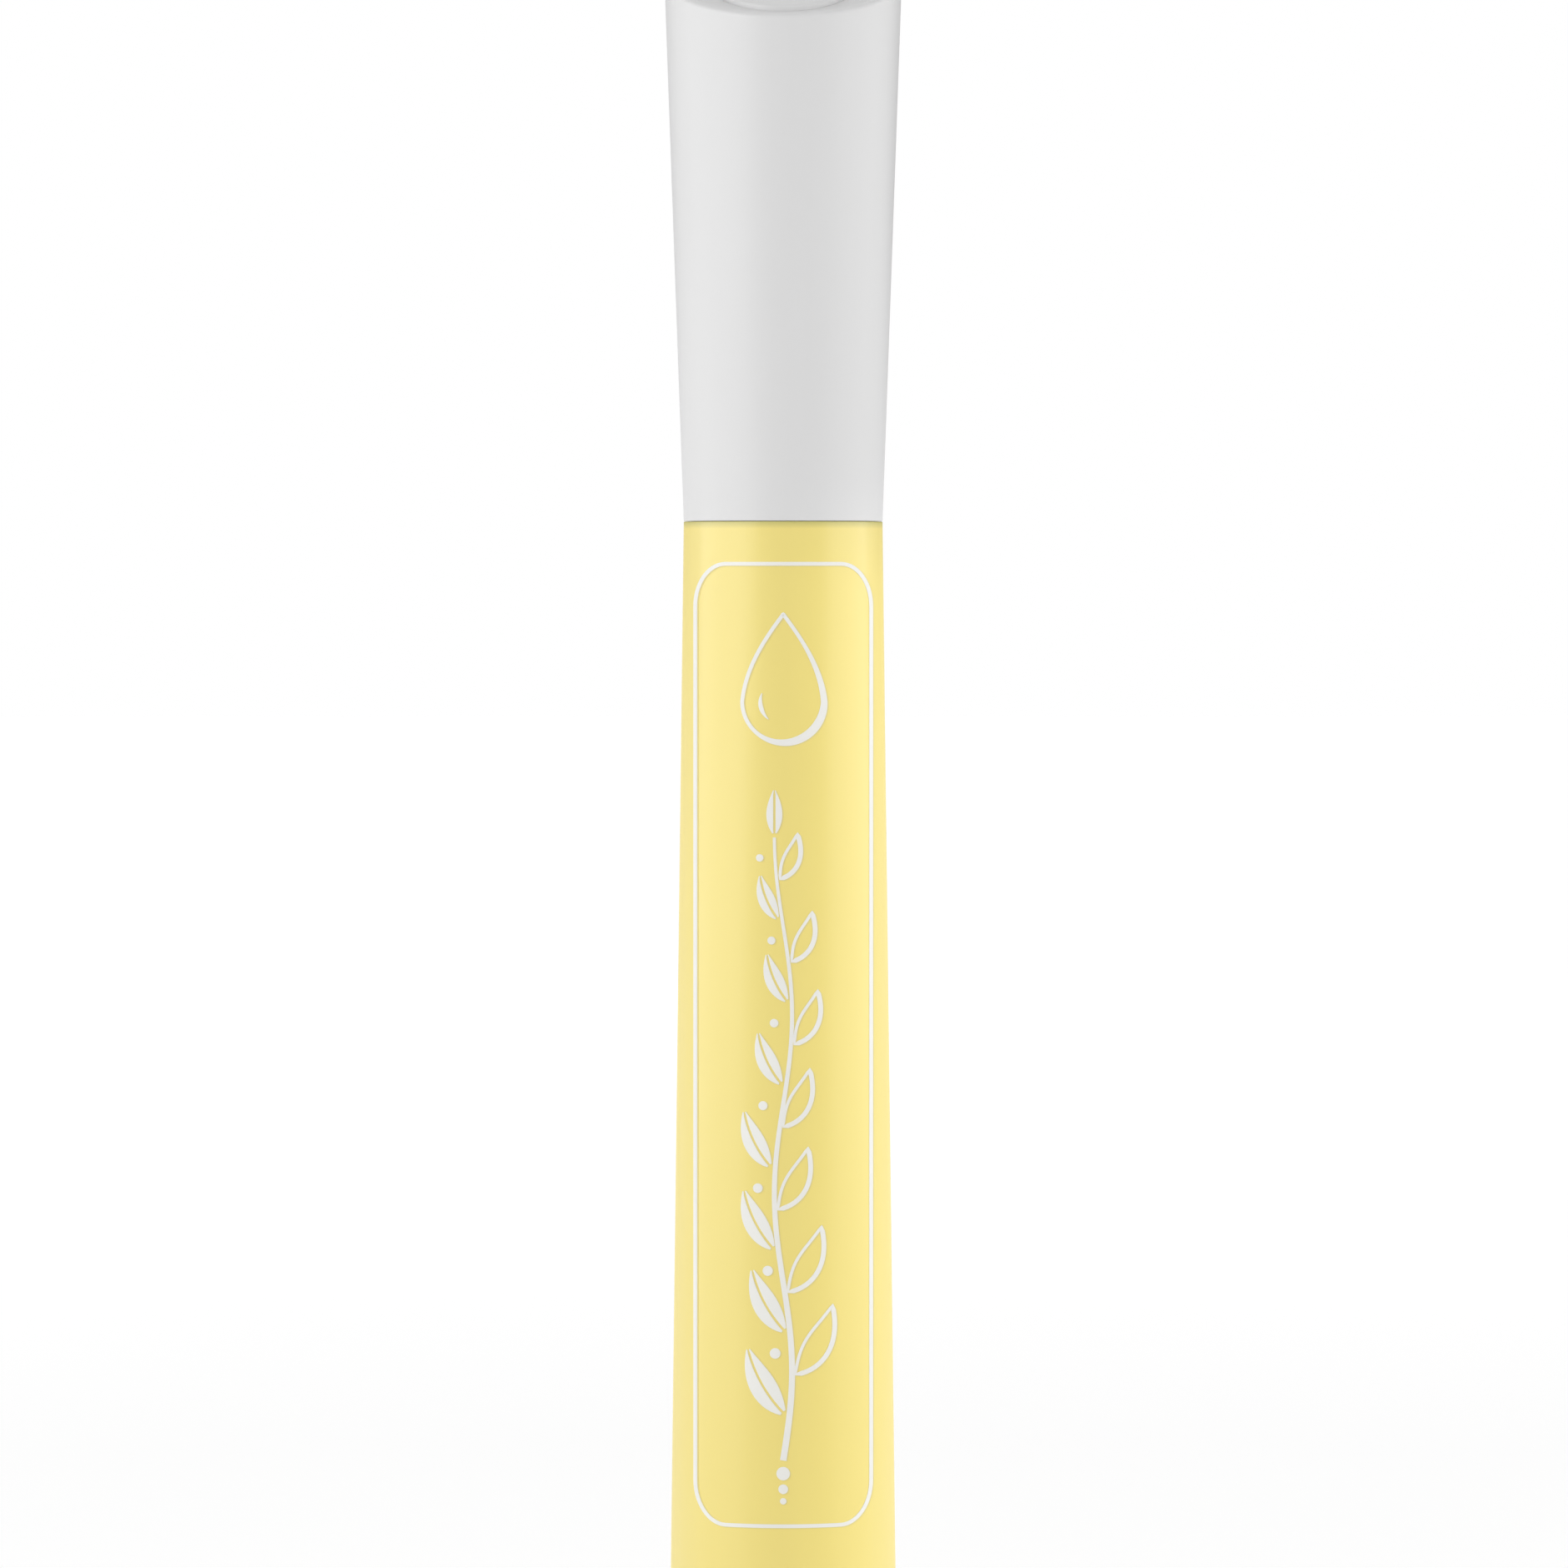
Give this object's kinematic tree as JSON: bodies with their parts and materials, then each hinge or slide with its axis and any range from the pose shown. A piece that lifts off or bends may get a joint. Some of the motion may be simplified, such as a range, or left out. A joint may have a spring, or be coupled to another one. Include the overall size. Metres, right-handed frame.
{
  "type": "cuticle remover pen",
  "caption": "Twist-up cuticle pen: tapered barrel with a gel cartridge, screw-fed piston and foot knob, soft slanted tip, push-on cap with an obliquely cut end.",
  "frame": {"origin": "centre of the knob's foot, on the surface that the pen stands on", "axes": "+Z along the pen towards the cap's end, -Y towards the front, where the cap's end is cut lowest, +X to the viewer's right"},
  "size_m": [0.0148, 0.0149, 0.1128],
  "materials": {
    "cap_white": "white moulded plastic, satin gloss",
    "barrel_cream": "pale cream-yellow moulded plastic, satin gloss",
    "neck_white": "white moulded plastic",
    "natural_plastic": "uncoloured moulded plastic, slightly milky",
    "frosted_plastic": "frosted clear moulded plastic",
    "soft_elastomer": "soft matt elastomer",
    "seal_rubber": "dark grey seal rubber",
    "gel": "clear pale yellow gel"
  },
  "bodies": {
    "barrel": {"barrel_shell": "barrel_cream", "reservoir": "frosted_plastic", "remover_gel": "gel", "neck_collar": "neck_white", "neck_o_ring": "soft_elastomer", "nozzle": "natural_plastic", "applicator_tip": "soft_elastomer", "drive_nut": "natural_plastic", "click_ring": "natural_plastic", "stem_bush": "natural_plastic"},
    "cap": {"cap_shell": "cap_white", "cap_end_disc": "cap_white", "cap_liner": "natural_plastic", "tip_seal": "soft_elastomer"},
    "knob": {"knob_shell": "barrel_cream", "knob_base_plug": "barrel_cream", "knob_o_ring": "seal_rubber", "drive_sleeve": "natural_plastic", "stem_clip": "natural_plastic"},
    "piston": {"piston": "natural_plastic", "piston_ring_lower": "seal_rubber", "piston_ring_upper": "seal_rubber"},
    "screw": {"feed_screw": "natural_plastic"}
  },
  "joints": [
    {"name": "cap_pull", "type": "slide", "parent": "barrel", "child": "cap", "axis": [0, 0, 1], "range_m": [0, 0.04]},
    {"name": "knob_turn", "type": "hinge", "parent": "barrel", "child": "knob", "pos_m": [0, 0, 0], "axis": [0, 0, 1], "range_deg": [0, 3600]},
    {"name": "piston_feed", "type": "slide", "parent": "barrel", "child": "piston", "axis": [0, 0, 1], "range_m": [0, 0.024], "deforming": ["remover_gel"]},
    {"name": "screw_slide", "type": "slide", "parent": "knob", "child": "screw", "axis": [0, 0, 1], "range_m": [0, 0.024]}
  ],
  "couplings": [
    {"joint": "piston_feed", "follows": "knob_turn", "m_per_rad": 0.00038197},
    {"joint": "screw_slide", "follows": "knob_turn", "m_per_rad": 0.00038197}
  ]
}
